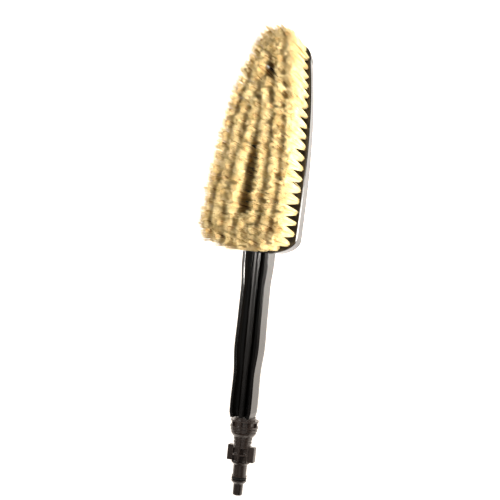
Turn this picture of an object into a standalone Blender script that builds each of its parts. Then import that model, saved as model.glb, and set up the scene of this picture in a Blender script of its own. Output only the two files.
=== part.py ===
"""Flow-through wash brush for a pressure-washer lance.

A curved plastic head carries rings of bristles around an open water slot, a contoured grip carries
the water pipe, and a bayonet connector plugs into the lance. The brush is drawn along its water
pipe (Y, head end positive, bristles up) and then laid on its back on the ground.
"""

import math

import bmesh
import bpy
from mathutils import Matrix, Vector

MM = 0.001
GAP = 0.3 * MM  # room between pieces that touch

# How the finished brush lies: on the toe of the head and on the connector's flange.
LIE_TURN = math.radians(5.1)
LIE_MOVE = Vector((0.0, 2.93, 25.39)) * MM

# Head: its face is an arc that bends down toward the toe.
FACE_HEIGHT = 14.5 * MM  # above the pipe's axis, at the heel
HEEL_SLOPE = 0.10  # radians
BEND = 1.6  # radians per metre of face
SIDE_START = 15.0 * MM
SIDE_LENGTH = 161.5 * MM
HEEL_HALF_WIDTH = 30.9 * MM  # at the outer row of bristles
TOE_NARROWING = 17.1 * MM
NARROWING_POWER = 2.46
RIM_MARGIN = 3.2 * MM  # from the outer row to the edge
FACE_CHAMFER = 0.8 * MM
HEEL_DEPTH = 13.6 * MM
TOE_DEPTH = 8.5 * MM
HEAD_START = 1.4 * MM
HEAD_TOE_CENTRE = 176.5 * MM
FACE_THICKNESS = 4.6 * MM
SKIRT_THICKNESS = 3.0 * MM
CHAMBER_START = 50.0 * MM
COVER_THICKNESS = 2.0 * MM
JET_DIAMETER = 2.4 * MM
JET_STATIONS = (60 * MM, 76 * MM, 92 * MM, 108 * MM)

# Rings of bristles: inset from the outer row, heel station, depth of the heel's curve.
OUTER_RING = (0.0, 3.4 * MM, 12.6 * MM)
MIDDLE_RING = (10.6 * MM, 14.5 * MM, 8.0 * MM)
INNER_RING = (21.2 * MM, 25.5 * MM, 5.0 * MM)
TRIM = 40.0 * MM  # bristle length above the face
ROOT_THICKNESS = 4.0 * MM
TIP_THICKNESS = 8.0 * MM
LEAN_OUT = 0.09  # sideways lean of the outer row
LEAN_HEEL = -0.09  # all bristles lean toward the heel
HEEL_FAN = 0.14  # further lean at the heel and at the toe, which opens the ends out
TOE_FAN = 0.10
ROW_STEP = 9.5 * MM

# Where each ring is split: heel's half-width, side's first and last station.
OUTER_SPLIT = (24.0 * MM, 12.5 * MM, 177.5 * MM)
MIDDLE_SPLIT = (13.0 * MM, 24.0 * MM, 151.0 * MM)
INNER_SPLIT = (5.0 * MM, 34.0 * MM, 109.0 * MM)
OUTER_TOE_START = 180.5 * MM
MIDDLE_TOE = (160 * MM, 167 * MM, 174 * MM)
INNER_TOE = (118 * MM, 127 * MM, 136 * MM, 146 * MM)

# Grip
GRIP_LENGTH = 141.5 * MM
GRIP_FRONT = 15.5 * MM
GRIP_BACK = 11.5 * MM
GRIP_WIDTHS = (  # distance from the head, width, both in millimetres
    (0, 24.0), (8, 23.8), (30, 21.0), (55, 21.4), (80, 22.2),
    (106, 18.8), (128, 19.5), (136, 19.3), (141.5, 17.0),
)
FLANGE_THICKNESS = 2.8 * MM
CHANNEL_DEPTH = 9.0 * MM
RIDGE_SHARE = 0.185  # ridge radius as a share of the grip's width
RIDGE_DROP = 2.5 * MM  # ridge's top below the flanges' edges

# Water pipe and its seals
PIPE_RADIUS = 4.0 * MM
PIPE_BORE = 2.7 * MM
PIPE_START = -119.1 * MM
PIPE_END = 44.0 * MM
SOCKET_RADIUS = PIPE_RADIUS + GAP
SOCKET_END = 50.0 * MM
NECK_START = -2.6 * MM
NECK_END = 49.4 * MM
NECK_HALF_WIDTH = 11.8 * MM
NECK_TOP = 9.0 * MM
SEAL_STATION = 13.0 * MM
SEAL_GROOVE_RADIUS = 6.0 * MM
SEAL_GROOVE_HALF = 1.1 * MM
SEAL_CORD = 0.75 * MM
SEAL_RADIUS = SOCKET_RADIUS + SEAL_CORD

# Connector, turned about the pipe's axis: distance past the grip's end and radius.
CONNECTOR_SIDES = 32
CONNECTOR_PROFILE = (
    (-21.0, 3.4), (-20.4, 4.0), (-8.6, 4.0), (-8.6, 2.9), (-6.4, 2.9), (-6.4, 4.0), (0.3, 4.0), (0.3, 9.2),
    (3.0, 9.2), (3.0, 12.1), (4.4, 12.1), (4.4, 9.4), (8.2, 9.4), (8.2, 12.1), (9.6, 12.1), (9.6, 10.0),
    (10.8, 10.0), (10.8, 11.6), (12.2, 11.6), (12.2, 9.8), (13.6, 9.8), (13.6, 11.0), (15.0, 10.6), (17.4, 8.7),
    (17.4, 7.4), (18.6, 7.4), (18.6, 8.1), (20.2, 8.1), (20.2, 7.2), (21.6, 7.2), (21.6, 7.9), (23.2, 7.9),
    (23.2, 7.2), (25.6, 7.2), (25.6, 8.1), (40.0, 8.1), (42.0, 5.9), (50.9, 5.9), (51.3, 6.5), (52.4, 6.5),
    (52.4, 3.9), (55.2, 3.9), (55.2, 6.5), (56.4, 6.5), (58.8, 4.2), (67.7, 4.2), (68.6, 3.4),
)
CONNECTOR_BORE = 1.9 * MM
SPIGOT_SEAL = -7.5 * MM
SPIGOT_SEAL_CORD = 0.6 * MM
SPIGOT_SEAL_RADIUS = 3.65 * MM
WEB_COUNT = 8
WEB_RADIUS = 11.6 * MM
WEB_THICKNESS = 1.4 * MM
WEB_START = 3.6 * MM
WEB_END = 9.0 * MM
LUG_REACH = 12.2 * MM
LUG_WIDTH = 6.4 * MM
LUG_START = 25.6 * MM
LUG_END = 39.0 * MM
LUG_ROUNDING = 0.9 * MM
BODY_RADIUS = 8.1 * MM
MIDDLE_RIB = 0.9 * MM  # half the rib between the pockets
POCKET_WIDTH = 5.4 * MM
POCKET_DEPTH = 4.6 * MM
POCKETS = (("upper", 27.0 * MM, 32.2 * MM), ("lower", 33.6 * MM, 39.2 * MM))
FIN_START = 16.0 * MM  # a fin along the front and the back of the body
FIN_END = 40.4 * MM
NOSE_SEAL = 53.8 * MM
NOSE_SEAL_CORD = 1.2 * MM
NOSE_SEAL_RADIUS = 5.4 * MM


def material(name, colour, roughness, metallic=0.0):
    mat = bpy.data.materials.new(name)
    mat.use_nodes = True
    shader = mat.node_tree.nodes["Principled BSDF"]
    shader.inputs["Base Color"].default_value = (*colour, 1.0)
    shader.inputs["Roughness"].default_value = roughness
    shader.inputs["Metallic"].default_value = metallic
    return mat


BLACK_PLASTIC = ((0.012, 0.010, 0.009), 0.42)
CONNECTOR_PLASTIC = ((0.030, 0.022, 0.019), 0.5)
SEAL_RUBBER = ((0.010, 0.010, 0.010), 0.7)
BRISTLE = ((0.72, 0.55, 0.26), 0.8)


def new_object(name, bm, finish, parent, smooth_angle=35.0):
    bmesh.ops.remove_doubles(bm, verts=bm.verts, dist=0.00001)
    bmesh.ops.recalc_face_normals(bm, faces=bm.faces)
    mesh = bpy.data.meshes.new(name)
    bm.to_mesh(mesh)
    bm.free()
    mesh.shade_smooth()
    mesh.set_sharp_from_angle(angle=math.radians(smooth_angle))
    obj = bpy.data.objects.new(name, mesh)
    bpy.context.scene.collection.objects.link(obj)
    if finish:
        colour, roughness = finish
        mesh.materials.append(material(name, colour, roughness))
    obj.parent = parent
    return obj


def cutter(name, bm, parent):
    obj = new_object(name, bm, None, parent)
    obj.hide_render = True
    obj.display_type = "WIRE"
    return obj


def boolean(obj, other, operation="DIFFERENCE"):
    modifier = obj.modifiers.new(other.name, "BOOLEAN")
    modifier.operation = operation
    modifier.object = other


def loft(bm, rings):
    """Skin closed rings of points, one after another, and cap both ends."""
    rows = [[bm.verts.new(point) for point in ring] for ring in rings]
    count = len(rows[0])
    for near, far in zip(rows, rows[1:]):
        for i in range(count):
            bm.faces.new((near[i], near[(i + 1) % count], far[(i + 1) % count], far[i]))
    bm.faces.new(rows[0][::-1])
    bm.faces.new(rows[-1])


def spun_rings(bm, profile, sides):
    """Turn (y, radius) points about the Y axis."""
    rings = []
    for y, radius in profile:
        ring = []
        for k in range(sides):
            angle = 2 * math.pi * k / sides
            ring.append(bm.verts.new((radius * math.cos(angle), y, radius * math.sin(angle))))
        rings.append(ring)
    return rings


def join_rings(bm, rings):
    for near, far in zip(rings, rings[1:]):
        for k in range(len(near)):
            following = (k + 1) % len(near)
            bm.faces.new((near[k], near[following], far[following], far[k]))


def turned(bm, profile, bore, sides):
    """A turned solid from (y, radius) points, with a bore through it, or solid where bore is 0."""
    path = list(profile)
    if bore:
        path += [(profile[-1][0], bore), (profile[0][0], bore)]
    rings = spun_rings(bm, path, sides)
    if bore:
        join_rings(bm, rings + rings[:1])
    else:
        join_rings(bm, rings)
        bm.faces.new(rings[0][::-1])
        bm.faces.new(rings[-1])


def torus(bm, station, ring_radius, cord_radius, sides=32, cord_sides=10):
    profile = []
    for k in range(cord_sides):
        angle = 2 * math.pi * k / cord_sides
        profile.append((station + cord_radius * math.cos(angle), ring_radius + cord_radius * math.sin(angle)))
    rings = spun_rings(bm, profile, sides)
    join_rings(bm, rings + rings[:1])


def box(bm, low, high):
    size = Vector(high) - Vector(low)
    centre = (Vector(high) + Vector(low)) / 2
    bmesh.ops.create_cube(bm, size=1.0, matrix=Matrix.Translation(centre) @ Matrix.Diagonal((*size, 1.0)))


def rod(bm, start, end, radius, sides=20):
    """A plain cylinder between two points."""
    axis = Vector(end) - Vector(start)
    turn = Vector((0, 0, 1)).rotation_difference(axis).to_matrix().to_4x4()
    place = Matrix.Translation((Vector(start) + Vector(end)) / 2) @ turn
    bmesh.ops.create_cone(
        bm, cap_ends=True, segments=sides, radius1=radius, radius2=radius, depth=axis.length, matrix=place
    )


# ---- the head's curved face --------------------------------------------------------------------


def face_point(x, station, height=0.0):
    """A point at a station along the curved face, and at a height above it."""
    slope = HEEL_SLOPE + BEND * station
    y = (math.sin(slope) - math.sin(HEEL_SLOPE)) / BEND
    z = (math.cos(slope) - math.cos(HEEL_SLOPE)) / BEND
    return Vector((x, y + height * math.sin(slope), FACE_HEIGHT + z + height * math.cos(slope)))


def side_half_width(station):
    share = max(station - SIDE_START, 0.0) / SIDE_LENGTH
    return HEEL_HALF_WIDTH - TOE_NARROWING * share**NARROWING_POWER


def side_and_toe(inset, start, sides=18, turns=10):
    """Points (x, station) of one half of a ring, from a station round to its toe."""
    points = []
    for k in range(sides + 1):
        station = start + (HEAD_TOE_CENTRE - start) * k / sides
        points.append((side_half_width(station) - inset, station))
    radius = side_half_width(HEAD_TOE_CENTRE) - inset
    for k in range(1, turns + 1):
        angle = math.radians(90) * k / turns
        points.append((radius * math.cos(angle), HEAD_TOE_CENTRE + radius * math.sin(angle)))
    return points


def half_outline(inset, heel_station, heel_curve):
    """One half of a whole ring, from its heel round to its toe."""
    corner = heel_station + heel_curve
    widest = side_half_width(corner) - inset
    points = []
    for k in range(12):
        angle = math.radians(90) * k / 12
        points.append((widest * math.sin(angle), corner - heel_curve * math.cos(angle)))
    return points + side_and_toe(inset, corner)


def head_depth(station):
    share = station / (HEAD_TOE_CENTRE + HEEL_HALF_WIDTH / 2)
    return HEEL_DEPTH + (TOE_DEPTH - HEEL_DEPTH) * min(share, 1.0)


def without_point(outline):
    """Leaves out the very ends, so that the loft closes with a short straight edge."""
    return [(x, s) for x, s in outline if x > 2 * MM]


def plate_loft(bm, outline, top, bottom, chamfer=0.0):
    rings = []
    for x, s in outline:
        half = [(x, top(s) - chamfer), (x, bottom(s))]
        if chamfer:
            half.insert(0, (x - chamfer, top(s)))
        ring = [face_point(px, s, h) for px, h in half] + [face_point(-px, s, h) for px, h in reversed(half)]
        rings.append(ring)
    loft(bm, rings)


def neck_rings():
    """The grip's rounded back runs on under the heel of the head and fades out."""
    rings = []
    steps = 8
    for k in range(steps + 1):
        share = k / steps
        y = NECK_START + (NECK_END - NECK_START) * share
        half_width = NECK_HALF_WIDTH * (1 - 0.15 * share)
        back = GRIP_BACK * (1 - 0.48 * share)
        top = NECK_TOP * (1 - 0.75 * share)
        ring = [Vector((half_width, y, top)), Vector((half_width, y, 0))]
        for step in range(1, 12):
            angle = math.pi * step / 12
            ring.append(Vector((half_width * math.cos(angle), y, -back * math.sin(angle))))
        ring += [Vector((-half_width, y, 0)), Vector((-half_width, y, top))]
        rings.append(ring)
    return rings


def build_head(parent):
    bm = bmesh.new()
    heel_station, heel_curve = OUTER_RING[1] - RIM_MARGIN, OUTER_RING[2] + RIM_MARGIN
    outline = without_point(half_outline(-RIM_MARGIN, heel_station, heel_curve))
    plate_loft(bm, outline, lambda s: 0.0, lambda s: -head_depth(s), FACE_CHAMFER)
    head = new_object("head_body", bm, BLACK_PLASTIC, parent)

    bm = bmesh.new()
    loft(bm, neck_rings())
    boolean(head, cutter("neck_block", bm, parent), "UNION")

    bm = bmesh.new()
    box(bm, (-40 * MM, -20 * MM, -30 * MM), (40 * MM, HEAD_START, 30 * MM))
    boolean(head, cutter("heel_face_cutter", bm, parent))

    bm = bmesh.new()
    groove = (SEAL_STATION - SEAL_GROOVE_HALF, SEAL_STATION + SEAL_GROOVE_HALF)
    bore = [(-5 * MM, SOCKET_RADIUS), (groove[0], SOCKET_RADIUS), (groove[0], SEAL_GROOVE_RADIUS)]
    bore += [(groove[1], SEAL_GROOVE_RADIUS), (groove[1], SOCKET_RADIUS), (SOCKET_END, SOCKET_RADIUS)]
    turned(bm, bore, 0.0, 24)
    for station in JET_STATIONS:
        rod(bm, face_point(0, station, -9 * MM), face_point(0, station, 4 * MM), JET_DIAMETER / 2, 12)
    boolean(head, cutter("bore_and_jets_cutter", bm, parent))

    bm = bmesh.new()
    inner = without_point(side_and_toe(SKIRT_THICKNESS - RIM_MARGIN, CHAMBER_START, 14, 7))
    plate_loft(bm, inner, lambda s: -FACE_THICKNESS, lambda s: -head_depth(s) - 6 * MM)
    boolean(head, cutter("chamber_cutter", bm, parent))


def build_back_cover(parent):
    bm = bmesh.new()
    inset = SKIRT_THICKNESS + GAP - RIM_MARGIN
    outline = without_point(side_and_toe(inset, CHAMBER_START + GAP, 14, 7))
    plate_loft(bm, outline, lambda s: COVER_THICKNESS - head_depth(s), lambda s: -head_depth(s))
    new_object("back_cover", bm, BLACK_PLASTIC, parent)


# ---- bristles ----------------------------------------------------------------------------------


def lean(x, station):
    """How far a bristle leans sideways and along the head, for each unit of its length."""
    sideways = LEAN_OUT * x / HEEL_HALF_WIDTH
    along = LEAN_HEEL
    if station < SIDE_START:
        along -= HEEL_FAN * (SIDE_START - station) / SIDE_START
    if station > HEAD_TOE_CENTRE:
        along += TOE_FAN
    return sideways, along


def row_block(bm, path):
    """A closed band of bristles that stands on a path over the face and leans with it."""
    rings = []
    for i, (x, s) in enumerate(path):
        before = Vector(path[max(i - 1, 0)])
        after = Vector(path[min(i + 1, len(path) - 1)])
        run = (after - before).normalized()
        across = Vector((run.y, -run.x))
        sideways, along = lean(x, s)
        ring = []
        for height, half in ((GAP, ROOT_THICKNESS / 2), (TRIM, TIP_THICKNESS / 2)):
            sides = (1, -1) if height == GAP else (-1, 1)
            for side in sides:
                px = x + sideways * height + across.x * half * side
                ps = s + along * height + across.y * half * side
                ring.append(face_point(px, ps, height))
        rings.append(ring)
    loft(bm, rings)


def resample(points, step):
    """Equal steps along a path of points."""
    lengths = [0.0]
    for a, b in zip(points, points[1:]):
        lengths.append(lengths[-1] + (Vector(b) - Vector(a)).length)
    count = max(2, round(lengths[-1] / step) + 1)
    result = []
    for k in range(count):
        target = lengths[-1] * k / (count - 1)
        i = max(j for j, length in enumerate(lengths[:-1]) if length <= target + 1e-9)
        share = (target - lengths[i]) / (lengths[i + 1] - lengths[i])
        result.append(tuple(Vector(points[i]).lerp(Vector(points[i + 1]), share)))
    return result


def mirrored(points):
    return [(-x, s) for x, s in points]


def build_row(name, path, parent):
    bm = bmesh.new()
    row_block(bm, path)
    new_object(name, bm, BRISTLE, parent)


def build_ring_rows(name, outline, split, parent):
    """The heel and the two sides of one ring of bristles."""
    heel_reach, side_start, side_end = split
    heel = [(x, s) for x, s in outline if x <= heel_reach and s < side_start]
    build_row(f"{name}_row_heel", resample(mirrored(heel)[::-1] + heel[1:], ROW_STEP), parent)
    side = resample([point for point in outline if side_start <= point[1] <= side_end], ROW_STEP)
    build_row(f"{name}_row_right", side, parent)
    build_row(f"{name}_row_left", mirrored(side), parent)


def build_bristles(parent):
    outer = half_outline(*OUTER_RING)
    build_ring_rows("outer", outer, OUTER_SPLIT, parent)
    toe = [point for point in outer if point[1] > OUTER_TOE_START]
    build_row("outer_row_toe", resample(toe + mirrored(toe)[::-1][1:], ROW_STEP), parent)

    build_ring_rows("middle", half_outline(*MIDDLE_RING), MIDDLE_SPLIT, parent)
    build_row("middle_row_toe", [(0.0, station) for station in MIDDLE_TOE], parent)

    build_ring_rows("inner", half_outline(*INNER_RING), INNER_SPLIT, parent)
    build_row("inner_row_toe", [(0.0, station) for station in INNER_TOE], parent)


# ---- grip --------------------------------------------------------------------------------------


def grip_width(distance):
    """Width at a distance from the head, eased between the widths that were chosen."""
    points = [(d * MM, w * MM) for d, w in GRIP_WIDTHS]
    for (near, first), (far, second) in zip(points, points[1:]):
        if distance <= far:
            share = (distance - near) / (far - near)
            ease = (1 - math.cos(math.pi * share)) / 2
            return first + (second - first) * ease
    return points[-1][1]


def grip_half_section(width):
    """Right half of the section, from the ridge's crown round the flange to the back."""
    half = width / 2
    ridge = RIDGE_SHARE * width
    crown = GRIP_FRONT - RIDGE_DROP
    floor = GRIP_FRONT - CHANNEL_DEPTH
    points = []
    for k in range(5):
        angle = math.radians(90 - 90 * k / 4)
        points.append((ridge * math.cos(angle), crown - ridge + ridge * math.sin(angle)))
    inner = half - FLANGE_THICKNESS
    points += [(ridge, floor), (inner - 0.4 * MM, floor), (inner, GRIP_FRONT - 0.5 * MM)]
    points += [(inner + 0.5 * MM, GRIP_FRONT), (half - 0.7 * MM, GRIP_FRONT), (half, GRIP_FRONT - 0.7 * MM)]
    for k in range(7):
        angle = math.radians(90 * k / 6)
        points.append((half * math.cos(angle), -GRIP_BACK * math.sin(angle)))
    return points


def build_grip(parent):
    bm = bmesh.new()
    rings = []
    steps = 30
    for k in range(steps + 1):
        distance = GRIP_LENGTH * k / steps
        half = grip_half_section(grip_width(distance))
        section = half + [(-x, z) for x, z in half[-2:0:-1]]
        y = HEAD_START - GAP - distance
        rings.append([Vector((x, y, z)) for x, z in section])
    loft(bm, rings)
    grip = new_object("grip", bm, BLACK_PLASTIC, parent)
    bm = bmesh.new()
    rod(bm, (0, -GRIP_LENGTH - 5 * MM, 0), (0, 5 * MM, 0), SOCKET_RADIUS, 24)
    boolean(grip, cutter("grip_bore_cutter", bm, parent))


# ---- pipe, seals and connector -----------------------------------------------------------------


def build_pipe(parent):
    bm = bmesh.new()
    profile = [(PIPE_END, PIPE_RADIUS), (PIPE_START, PIPE_RADIUS)]
    turned(bm, profile, PIPE_BORE, 24)
    new_object("water_pipe", bm, CONNECTOR_PLASTIC, parent)
    bm = bmesh.new()
    torus(bm, SEAL_STATION, SEAL_RADIUS, SEAL_CORD, 24, 8)
    new_object("pipe_seal", bm, SEAL_RUBBER, parent)


def connector_y(distance):
    return HEAD_START - GAP - GRIP_LENGTH - distance


def build_connector(parent):
    bm = bmesh.new()
    profile = [(connector_y(d * MM), radius * MM) for d, radius in CONNECTOR_PROFILE]
    turned(bm, profile, CONNECTOR_BORE, CONNECTOR_SIDES)
    connector = new_object("lance_connector", bm, CONNECTOR_PLASTIC, parent)

    bm = bmesh.new()
    half = WEB_THICKNESS / 2
    for k in range(WEB_COUNT // 2):
        web = bmesh.new()
        box(web, (-WEB_RADIUS, connector_y(WEB_END), -half), (WEB_RADIUS, connector_y(WEB_START), half))
        web.transform(Matrix.Rotation(2 * math.pi * k / WEB_COUNT, 4, "Y"))
        mesh = bpy.data.meshes.new("web")
        web.to_mesh(mesh)
        web.free()
        bm.from_mesh(mesh)
        bpy.data.meshes.remove(mesh)
    boolean(connector, cutter("webs", bm, parent), "UNION")

    bm = bmesh.new()
    half = LUG_WIDTH / 2
    box(bm, (-LUG_REACH, connector_y(LUG_END), -half), (LUG_REACH, connector_y(LUG_START), half))
    bmesh.ops.bevel(bm, geom=bm.edges[:], offset=LUG_ROUNDING, segments=2, profile=0.5, affect="EDGES")
    boolean(connector, cutter("lugs", bm, parent), "UNION")

    bm = bmesh.new()
    low = (-0.8 * MIDDLE_RIB, connector_y(FIN_END), -BODY_RADIUS - 0.2 * MM)
    box(bm, low, (0.8 * MIDDLE_RIB, connector_y(FIN_START), BODY_RADIUS + 0.2 * MM))
    boolean(connector, cutter("fins", bm, parent), "UNION")

    for name, start, end in POCKETS:
        for face, sign in (("front", 1), ("back", -1)):
            for hand, side in (("right", 1), ("left", -1)):
                bm = bmesh.new()
                x = sorted((side * MIDDLE_RIB, side * (MIDDLE_RIB + POCKET_WIDTH)))
                z = sorted((sign * (BODY_RADIUS - POCKET_DEPTH), sign * 1.5 * BODY_RADIUS))
                box(bm, (x[0], connector_y(end), z[0]), (x[1], connector_y(start), z[1]))
                boolean(connector, cutter(f"pocket_{name}_{face}_{hand}", bm, parent))

    bm = bmesh.new()
    bore = CONNECTOR_BORE + 0.05 * MM
    rod(bm, (0, connector_y(72 * MM), 0), (0, connector_y(-25 * MM), 0), bore, CONNECTOR_SIDES)
    boolean(connector, cutter("bore_cutter", bm, parent))

    bm = bmesh.new()
    torus(bm, connector_y(SPIGOT_SEAL), SPIGOT_SEAL_RADIUS, SPIGOT_SEAL_CORD, 24, 8)
    new_object("spigot_seal", bm, SEAL_RUBBER, parent)
    bm = bmesh.new()
    torus(bm, connector_y(NOSE_SEAL), NOSE_SEAL_RADIUS, NOSE_SEAL_CORD)
    new_object("nose_seal", bm, SEAL_RUBBER, parent)


def main():
    for obj in list(bpy.data.objects):
        bpy.data.objects.remove(obj, do_unlink=True)
    brush = bpy.data.objects.new("brush", None)
    bpy.context.scene.collection.objects.link(brush)
    brush.rotation_euler = (LIE_TURN, 0.0, 0.0)
    brush.location = LIE_MOVE
    build_head(brush)
    build_back_cover(brush)
    build_bristles(brush)
    build_grip(brush)
    build_pipe(brush)
    build_connector(brush)


main()
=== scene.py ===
import math

import bpy
import numpy as np
from mathutils import Matrix, Vector


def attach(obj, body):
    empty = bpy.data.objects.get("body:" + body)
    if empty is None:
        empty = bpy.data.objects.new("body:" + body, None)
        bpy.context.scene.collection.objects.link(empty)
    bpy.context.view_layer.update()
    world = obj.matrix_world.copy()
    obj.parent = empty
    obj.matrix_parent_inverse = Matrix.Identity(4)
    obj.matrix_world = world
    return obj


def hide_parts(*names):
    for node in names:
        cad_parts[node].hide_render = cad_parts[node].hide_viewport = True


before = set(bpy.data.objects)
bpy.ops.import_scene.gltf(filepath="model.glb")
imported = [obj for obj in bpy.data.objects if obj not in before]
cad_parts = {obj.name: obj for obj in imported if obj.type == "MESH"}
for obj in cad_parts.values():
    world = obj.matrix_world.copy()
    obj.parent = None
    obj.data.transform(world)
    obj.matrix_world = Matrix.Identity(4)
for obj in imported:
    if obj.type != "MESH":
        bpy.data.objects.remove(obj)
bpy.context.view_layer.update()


# ---- Head ---------------------------------------------------------------------------------------
# The head is one black moulding, with a cover that closes the water chamber behind its face. The
# face is an arc that bends down toward the toe. Its satin skin comes straight from the mould.

def mottled(name, deep, pale, span, scale, detail):
    """A material whose colour drifts in soft patches between two tones of the same stuff."""
    mat = bpy.data.materials.new(name)
    mat.use_nodes = True
    nodes, links = mat.node_tree.nodes, mat.node_tree.links
    place = nodes.new("ShaderNodeTexCoord")
    patches = nodes.new("ShaderNodeTexNoise")
    patches.inputs["Scale"].default_value = scale
    patches.inputs["Detail"].default_value = detail
    tint = nodes.new("ShaderNodeValToRGB")
    for end, position, colour in zip(tint.color_ramp.elements, span, (deep, pale)):
        end.position = position
        end.color = (*colour, 1.0)
    links.new(place.outputs["Object"], patches.inputs["Vector"])
    links.new(patches.outputs["Fac"], tint.inputs["Fac"])
    links.new(tint.outputs["Color"], nodes["Principled BSDF"].inputs["Base Color"])
    return mat, place, patches


def moulded_plastic(name, dark, light, roughness, grain, gloss=0.5):
    """Plastic whose sheen changes with its patches, under the fine grain of the mould."""
    mat, place, patches = mottled(name, dark, light, span=(0.35, 0.68), scale=70.0, detail=4.0)
    nodes, links = mat.node_tree.nodes, mat.node_tree.links
    shader = nodes["Principled BSDF"]
    shader.inputs["Specular IOR Level"].default_value = gloss
    sheen = nodes.new("ShaderNodeMapRange")
    sheen.inputs["To Min"].default_value = roughness[0]
    sheen.inputs["To Max"].default_value = roughness[1]
    fine = nodes.new("ShaderNodeTexNoise")
    fine.inputs["Scale"].default_value = 1400.0
    bump = nodes.new("ShaderNodeBump")
    bump.inputs["Strength"].default_value = grain
    bump.inputs["Distance"].default_value = 0.0002
    links.new(patches.outputs["Fac"], sheen.inputs["Value"])
    links.new(sheen.outputs["Result"], shader.inputs["Roughness"])
    links.new(place.outputs["Object"], fine.inputs["Vector"])
    links.new(fine.outputs["Fac"], bump.inputs["Height"])
    links.new(bump.outputs["Normal"], shader.inputs["Normal"])
    return mat


def finish_node(node, material):
    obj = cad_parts[node]
    obj.data.materials.clear()
    obj.data.materials.append(material)


black_moulding = moulded_plastic(
    "black_moulding",
    dark=(0.0022, 0.0016, 0.0012),
    light=(0.0042, 0.0032, 0.0026),
    roughness=(0.17, 0.25),
    grain=0.05,
)
finish_node("head_body", black_moulding)
finish_node("back_cover", black_moulding)


# ---- Bristle tufts ------------------------------------------------------------------------------
# Soft straw-coloured filament, folded double and stapled into holes in the face on three rings
# round the water slot. Each tuft leaves its hole about 4 mm wide, spreads like a cone and ends in
# split, frayed tips that touch the next tuft.

# The face: its height over the water pipe's line, its slope at the heel, and its bend per metre.
FACE_HEIGHT = 0.0145
HEEL_SLOPE = 0.10
BEND = 1.6

# The edge of the tuft field, which tapers from a wide heel to a narrow round toe.
WIDEST_HALF = 0.0309
TAPER = 0.0171
TAPER_START = 0.015
TAPER_LENGTH = 0.1615
TAPER_POWER = 2.46
TOE_CENTRE = 0.1765

TRIM = 0.040             # the filaments' length over the face
PITCH = 0.0095           # from tuft to tuft
MEETING = 0.0034         # closer to the middle than this, a ring's two sides share one tuft
ROOT_HEIGHT = 0.0002     # keeps the filaments' ends just clear of the face
LIE_TILT = math.radians(5.1)
LIE_SHIFT = (0.00293, 0.02539)
rng = np.random.RandomState(41)


def lay_down(points):
    """Everything is drawn along the water pipe, then lies on the head's toe and the connector."""
    x, y, z = np.asarray(points).T
    run, rise = math.cos(LIE_TILT), math.sin(LIE_TILT)
    y, z = y * run - z * rise, y * rise + z * run
    return np.stack([x, y + LIE_SHIFT[0], z + LIE_SHIFT[1]], axis=1)


def over_face(x, station, height):
    """Points at a station along the curved face and a height above it."""
    slope = HEEL_SLOPE + BEND * station
    y = (np.sin(slope) - math.sin(HEEL_SLOPE)) / BEND + height * np.sin(slope)
    z = FACE_HEIGHT + (np.cos(slope) - math.cos(HEEL_SLOPE)) / BEND + height * np.cos(slope)
    return np.stack([x + 0 * y, y, z], axis=-1)


def side_half_width(station):
    return WIDEST_HALF - TAPER * (max(station - TAPER_START, 0.0) / TAPER_LENGTH) ** TAPER_POWER


def ring_path(inset, heel_station, heel_curve):
    """One half of a ring, closely spaced, from the middle of the heel to the middle of the toe."""
    heel_steps, side_steps, toe_steps = 60, 300, 40
    corner = heel_station + heel_curve
    widest = side_half_width(corner) - inset
    path = []
    for k in range(heel_steps):
        angle = math.radians(90) * k / heel_steps
        path.append((widest * math.sin(angle), corner - heel_curve * math.cos(angle)))
    for k in range(side_steps):
        station = corner + (TOE_CENTRE - corner) * k / (side_steps - 1)
        path.append((side_half_width(station) - inset, station))
    radius = max(side_half_width(TOE_CENTRE) - inset, 0.0)
    for k in range(1, toe_steps + 1):
        angle = math.radians(90) * k / toe_steps
        path.append((radius * math.cos(angle), TOE_CENTRE + radius * math.sin(angle)))
    return [point for point in path if point[0] >= -1e-6]


def tuft_roots(inset, heel_station, heel_curve, last_station):
    """Roots a pitch apart round a ring. Where its two sides meet, single tufts go on in the middle."""
    path = np.array(ring_path(inset, heel_station, heel_curve))
    steps = np.hypot(*np.diff(path, axis=0).T)
    along = np.concatenate([[0.0], np.cumsum(steps)])
    count = round(along[-1] / PITCH)
    spots = np.linspace(0.0, along[-1], count + 1)
    xs = np.interp(spots, along, path[:, 0])
    stations = np.interp(spots, along, path[:, 1])
    roots = [(0.0, stations[0])]
    for x, station in list(zip(xs, stations))[1:]:
        if x < MEETING:
            break
        roots += [(x, station), (-x, station)]
    while station <= last_station:
        roots.append((0.0, station))
        station += PITCH
    return roots


def ramp(station, start, end):
    return min(max((station - start) / (end - start), 0.0), 1.0)


def tip_shift(x, station):
    """How far a tuft's tip stands off from over its root, sideways and along the head.
    Use has combed all the tufts a little to one side and back toward the grip."""
    splay = 0.045
    combed_aside = 0.0061
    middle_row = 0.0097
    fall = 0.125 if x > 0 else -0.06
    sideways = splay * x - combed_aside + fall * (abs(x) - middle_row)
    if x:
        inner_row_opens = max(0.0054 - abs(x), 0.0)
        sideways += math.copysign(inner_row_opens, x)
    # Only the heel's first tufts lean toward the toe; past them all lean back toward the grip.
    heel = ramp(station, 0.006, 0.030)
    toe = ramp(station, 0.150, 0.190)
    along = 0.0022 - 0.0058 * heel - 0.0015 * toe
    if x > 0:
        sideways -= 0.0022 * toe
    return sideways, along


def straw(name, deep, pale, roughness):
    mat, _, _ = mottled(name, deep, pale, span=(0.30, 0.72), scale=110.0, detail=2.0)
    shader = mat.node_tree.nodes["Principled BSDF"]
    shader.inputs["Roughness"].default_value = roughness
    shader.inputs["Specular IOR Level"].default_value = 0.3
    return mat


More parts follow.
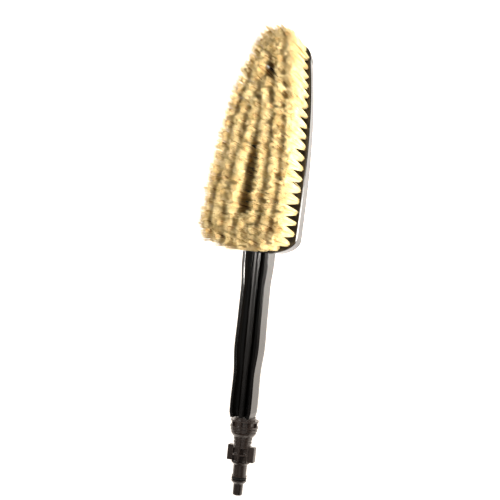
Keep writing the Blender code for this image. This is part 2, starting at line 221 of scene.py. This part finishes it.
straw_filament = straw("straw_filament", (0.60, 0.42, 0.16), (0.86, 0.71, 0.38), roughness=0.55)
# The hearts' straw is about half as bright as the filaments': painted shade for the inside of each
# tuft, where the filaments shade each other.
straw_heart_painted_shade = straw("straw_heart_painted_shade", (0.30, 0.17, 0.06), (0.46, 0.29, 0.11), roughness=0.8)

# How unlike each other tufts, wisps and filaments are: one standard deviation each. Lengths go by
# the trim, and places inside a tuft by its own half width.
TUFT_SIDEWAYS = 0.0006
TUFT_ALONG = 0.0003
TUFT_LENGTH = 0.014
WISP_PLACE = 0.07
WISP_LENGTH = 0.013
FILAMENT_PLACE = 0.17
FILAMENT_LENGTH = 0.014
FILAMENT_DRIFT = 0.0006

FILAMENTS = 200          # in each tuft
ROOT_HALF = 0.0016       # a tuft's half width where it leaves its hole
OPENING = 0.0034         # how much wider that is at the tips
LEVELS = (0.0, 0.3, 0.6, 0.84, 1.0)
WISPS = 18               # that the filaments draw together into
WISPS_BEGIN = 0.5        # how far up they begin to
WISP_PULL = 0.62
GOLDEN_TURN = 2.4        # from wisp to wisp round the tuft, so that they share it evenly
DOME = 0.13              # how much shorter the outermost wisps are
STRAYS = 0.015           # the share of filaments that stand away from their wisp
STRAY_DRIFT = 3.0        # and how much further than the others they do


def tuft_lines(x, station):
    """Centre lines of one tuft's filaments, which draw together into wisps toward their tips."""
    sideways, along = tip_shift(x, station)
    sideways += rng.normal(0, TUFT_SIDEWAYS)
    along += rng.normal(0, TUFT_ALONG)
    order = np.arange(WISPS)
    wisp_reach = np.sqrt((order + 0.4) / WISPS)
    wisp_turn = GOLDEN_TURN * order + rng.uniform(0, 2 * math.pi)
    wisp_u = wisp_reach * np.cos(wisp_turn) + rng.normal(0, WISP_PLACE, WISPS)
    wisp_v = wisp_reach * np.sin(wisp_turn) + rng.normal(0, WISP_PLACE, WISPS)
    wisp_length = 1.0 - DOME * wisp_reach**2 + rng.normal(0, WISP_LENGTH, WISPS)
    member = rng.randint(WISPS, size=FILAMENTS)
    u = wisp_u[member] + rng.normal(0, FILAMENT_PLACE, FILAMENTS)
    v = wisp_v[member] + rng.normal(0, FILAMENT_PLACE, FILAMENTS)
    own_length = rng.normal(0, FILAMENT_LENGTH, FILAMENTS)
    length = TRIM * (wisp_length[member] + own_length + rng.normal(0, TUFT_LENGTH))
    stray = np.where(rng.uniform(0, 1, FILAMENTS) < STRAYS, STRAY_DRIFT, 1.0)
    drift_x, drift_s = rng.normal(0, FILAMENT_DRIFT, (2, FILAMENTS)) * stray
    fullness = 1.3 if station > 0.172 else 1.0      # the toe's tufts have room to open out
    lengthwise = 1.45 if x < -0.008 else 1.08       # and the left rows are spread along the head
    lines = []
    for t in LEVELS:
        pull = WISP_PULL * max((t - WISPS_BEGIN) / (1.0 - WISPS_BEGIN), 0.0) ** 2
        fan = fullness * (ROOT_HALF + OPENING * t)
        bend = t * t
        spread_x = fan * (u + (wisp_u[member] - u) * pull)
        spread_s = lengthwise * fan * (v + (wisp_v[member] - v) * pull)
        px = x + sideways * t + spread_x + drift_x * bend
        ps = station + along * t + spread_s + drift_s * bend
        lines.append(over_face(px, ps, ROOT_HEIGHT + length * t))
    return np.stack(lines, axis=1)


def filament_mesh(lines, root_radius, tip_radius):
    """Three-sided closed spikes along the lines, each one flat at its root and pointed at its tip."""
    count, rings, _ = lines.shape
    run = lines[:, -1] - lines[:, 0]
    run /= np.linalg.norm(run, axis=1, keepdims=True)
    turn = rng.uniform(0, 2 * math.pi, count)
    side = np.stack([np.cos(turn), np.sin(turn), 0 * turn], axis=1)
    a = np.cross(run, side)
    a /= np.linalg.norm(a, axis=1, keepdims=True)
    b = np.cross(run, a)
    points = []
    for k in range(rings - 1):
        radius = root_radius + (tip_radius - root_radius) * k / (rings - 1)
        for j in range(3):
            phi = 2 * math.pi * j / 3
            points.append(lines[:, k] + radius * (math.cos(phi) * a + math.sin(phi) * b))
    points.append(lines[:, -1])
    per = len(points)
    pattern = [(0, 2, 1)]
    for k in range(rings - 2):
        for j in range(3):
            p, q = 3 * k + j, 3 * k + (j + 1) % 3
            pattern += [(p, q, q + 3), (p, q + 3, p + 3)]
    last = 3 * (rings - 2)
    pattern += [(last + j, last + (j + 1) % 3, per - 1) for j in range(3)]
    faces = (np.array(pattern)[None] + per * np.arange(count)[:, None, None]).reshape(-1, 3)
    return np.stack(points, axis=1).reshape(-1, 3), faces


def heart_mesh(x, station):
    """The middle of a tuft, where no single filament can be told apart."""
    sideways, along = tip_shift(x, station)
    sides = 10
    uneven = 0.07
    root_half, opening = 0.0014, 0.0018
    levels = ((0.0, 1.0), (0.2, 1.0), (0.45, 1.0), (0.65, 1.0), (0.78, 0.85), (0.84, 0.4))
    top = 0.85
    verts, faces = [], []
    for t, fullness in levels:
        for j in range(sides):
            phi = 2 * math.pi * j / sides
            wide = (root_half + opening * t) * fullness * (1 + rng.normal(0, uneven))
            px = x + sideways * t + wide * math.cos(phi)
            ps = station + along * t + wide * math.sin(phi)
            verts.append(over_face(px, ps, ROOT_HEIGHT + TRIM * t))
    verts.append(over_face(x + sideways * top, station + along * top, ROOT_HEIGHT + TRIM * top))
    for k in range(len(levels) - 1):
        for j in range(sides):
            p, q = sides * k + j, sides * k + (j + 1) % sides
            faces += [(p, q, q + sides), (p, q + sides, p + sides)]
    rim = sides * (len(levels) - 1)
    faces += [(rim + j, rim + (j + 1) % sides, len(verts) - 1) for j in range(sides)]
    faces += [(0, sides - j, sides - j - 1) for j in range(1, sides - 1)]
    return np.array(verts), np.array(faces)


def build_mesh(name, verts, faces, material):
    mesh = bpy.data.meshes.new(name)
    mesh.vertices.add(len(verts))
    mesh.vertices.foreach_set("co", lay_down(verts).astype(np.float32).ravel())
    mesh.loops.add(faces.size)
    mesh.loops.foreach_set("vertex_index", faces.astype(np.int32).ravel())
    mesh.polygons.add(len(faces))
    mesh.polygons.foreach_set("loop_start", np.arange(0, faces.size, 3, dtype=np.int32))
    mesh.update(calc_edges=True)
    mesh.validate()
    mesh.shade_smooth()
    mesh.materials.append(material)
    obj = bpy.data.objects.new(name, mesh)
    bpy.context.scene.collection.objects.link(obj)
    return obj


def pile(meshes):
    """Several meshes' points and faces as one."""
    verts, faces, base = [], [], 0
    for v, f in meshes:
        verts.append(v)
        faces.append(f + base)
        base += len(v)
    return np.concatenate(verts), np.concatenate(faces)


# Each ring has its inset from the tuft field's edge, where its heel stands, how deep the heel
# curves, how far its last tuft may go, and where its straight sides begin and end.
RINGS = {
    "outer": (0.0010, 0.0040, 0.0120, 0.191, 0.0125, 0.178),
    "middle": (0.0106, 0.0145, 0.0080, 0.182, 0.0240, 0.157),
    "inner": (0.0212, 0.0255, 0.0050, 0.148, 0.0340, 0.122),
}
for ring, (inset, heel_station, heel_curve, last_station, side_start, side_end) in RINGS.items():
    sections = {"heel": [], "left": [], "right": [], "toe": []}
    for x, station in tuft_roots(inset, heel_station, heel_curve, last_station):
        if station < side_start:
            sections["heel"].append((x, station))
        elif station > side_end:
            sections["toe"].append((x, station))
        else:
            sections["right" if x > 0 else "left"].append((x, station))
    for section, places in sections.items():
        lines = np.concatenate([tuft_lines(*place) for place in places])
        verts, faces = filament_mesh(lines, root_radius=0.00016, tip_radius=0.00011)
        tufts = build_mesh(f"{ring}_tufts_{section}", verts, faces, straw_filament)
        # Each tuft's solid heart, in the darker straw: painted shade inside the tuft.
        verts, faces = pile([heart_mesh(*place) for place in places])
        heart = build_mesh(f"{ring}_painted_shade_hearts_{section}", verts, faces, straw_heart_painted_shade)
        for piece in (tufts, heart):
            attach(piece, "root")
        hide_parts(f"{ring}_row_{section}")


# ---- Grip and water pipe ------------------------------------------------------------------------
# The grip is moulded in the same black plastic as the head: two flanges and a round rib, waisted
# to suit the hand, and fixed to the head's neck. The water pipe runs inside its rib.

finish_node("grip", black_moulding)
finish_node("water_pipe", black_moulding)


# ---- Connector ----------------------------------------------------------------------------------
# The bayonet connector is moulded in glass-filled plastic, which is browner than the grip and has
# a coarser grain. Its spigot goes into the end of the grip's bore, where the water pipe begins.

filled_plastic = moulded_plastic(
    "filled_plastic",
    dark=(0.030, 0.018, 0.013),
    light=(0.060, 0.038, 0.029),
    roughness=(0.22, 0.36),
    grain=0.25,
    gloss=0.8,
)
finish_node("lance_connector", filled_plastic)


# ---- Seals --------------------------------------------------------------------------------------
# Matt black rubber rings: one round the pipe in the head's neck, one on the connector's spigot
# and one on its nose. They are stretched over those parts and stay in their grooves.

seal_rubber = moulded_plastic(
    "seal_rubber",
    dark=(0.008, 0.008, 0.008),
    light=(0.013, 0.013, 0.013),
    roughness=(0.55, 0.75),
    grain=0.05,
)
finish_node("pipe_seal", seal_rubber)
finish_node("spigot_seal", seal_rubber)
finish_node("nose_seal", seal_rubber)


# ---- Floor, lights and camera -------------------------------------------------------------------
# The brush lies on a bright white table that glows a little from below. A small lamp stands low
# on its right, a broad one hangs over it and a narrow strip is high on its left. The camera looks
# down on it, a little from the right.

FLOOR_REACH = 6.0
FLOOR_DROP = -0.0005
floor_paint = bpy.data.materials.new("floor_paint")
floor_paint.use_nodes = True
floor_shader = floor_paint.node_tree.nodes["Principled BSDF"]
floor_shader.inputs["Base Color"].default_value = (0.35, 0.35, 0.35, 1)
floor_shader.inputs["Roughness"].default_value = 0.9
floor_shader.inputs["Emission Color"].default_value = (1.0, 0.91, 0.82, 1)
floor_shader.inputs["Emission Strength"].default_value = 1.45
floor_mesh = bpy.data.meshes.new("floor")
corners = ((-1, -1), (1, -1), (1, 1), (-1, 1))
floor_mesh.from_pydata(
    [(FLOOR_REACH * i, FLOOR_REACH * j, FLOOR_DROP) for i, j in corners], [], [(0, 1, 2, 3)]
)
floor_mesh.materials.append(floor_paint)
floor = bpy.data.objects.new("floor", floor_mesh)
bpy.context.scene.collection.objects.link(floor)

world = bpy.data.worlds.new("studio")
bpy.context.scene.world = world
world.use_nodes = True
backdrop = world.node_tree.nodes["Background"]
backdrop.inputs["Color"].default_value = (1.0, 0.99, 0.97, 1.0)
backdrop.inputs["Strength"].default_value = 0.06


def soft_light(name, place, aim, width, length, power, spread, colour):
    """A rectangular lamp that shines from one place toward another, in a cone of some degrees."""
    lamp = bpy.data.lights.new(name, "AREA")
    lamp.shape = "RECTANGLE"
    lamp.size = width
    lamp.size_y = length
    lamp.energy = power
    lamp.color = colour
    lamp.spread = math.radians(spread)
    obj = bpy.data.objects.new(name, lamp)
    bpy.context.scene.collection.objects.link(obj)
    obj.location = place
    obj.rotation_euler = (Vector(aim) - Vector(place)).to_track_quat("-Z", "Y").to_euler()


soft_light(
    "key", place=(0.34, 0.09, 0.20), aim=(0.125, 0.085, 0.06),
    width=0.20, length=0.20, power=1.25, spread=50.0, colour=(1.0, 0.97, 0.92),
)
soft_light(
    "fill", place=(0.5, -0.1, 1.3), aim=(0.0, 0.0, 0.03),
    width=0.8, length=0.8, power=2.2, spread=180.0, colour=(1.0, 0.97, 0.93),
)
soft_light(
    "strip", place=(-0.75, -0.05, 1.0), aim=(0.0, -0.05, 0.03),
    width=0.12, length=0.9, power=2.8, spread=120.0, colour=(1.0, 0.95, 0.90),
)

# The camera's place and aim are given along the water pipe too, and lie down with the brush.
eye_along_pipe = Vector((0.33475, 0.03385, 0.95577))
aim_along_pipe = Vector((-0.00578, 0.00236, 0.0145))
lie = Matrix.Rotation(LIE_TILT, 3, "X")
toward_eye = lie @ (eye_along_pipe - aim_along_pipe).normalized()
pipe_way = lie @ Vector((0.0, 1.0, 0.0))
level = pipe_way.cross(toward_eye).normalized()
raised = toward_eye.cross(level)
roll = -0.1013
right = math.cos(roll) * level - math.sin(roll) * raised
up = math.sin(roll) * level + math.cos(roll) * raised
camera_data = bpy.data.cameras.new("camera")
camera_data.sensor_width = 36.0
camera_data.lens = 85.25
camera = bpy.data.objects.new("camera", camera_data)
bpy.context.scene.collection.objects.link(camera)
eye = lie @ eye_along_pipe + Vector((0.0, *LIE_SHIFT))
camera.matrix_world = (
    Matrix.Translation(eye) @ Matrix((right, up, toward_eye)).transposed().to_4x4()
)
bpy.context.scene.camera = camera
bpy.context.scene.view_settings.view_transform = "Standard"
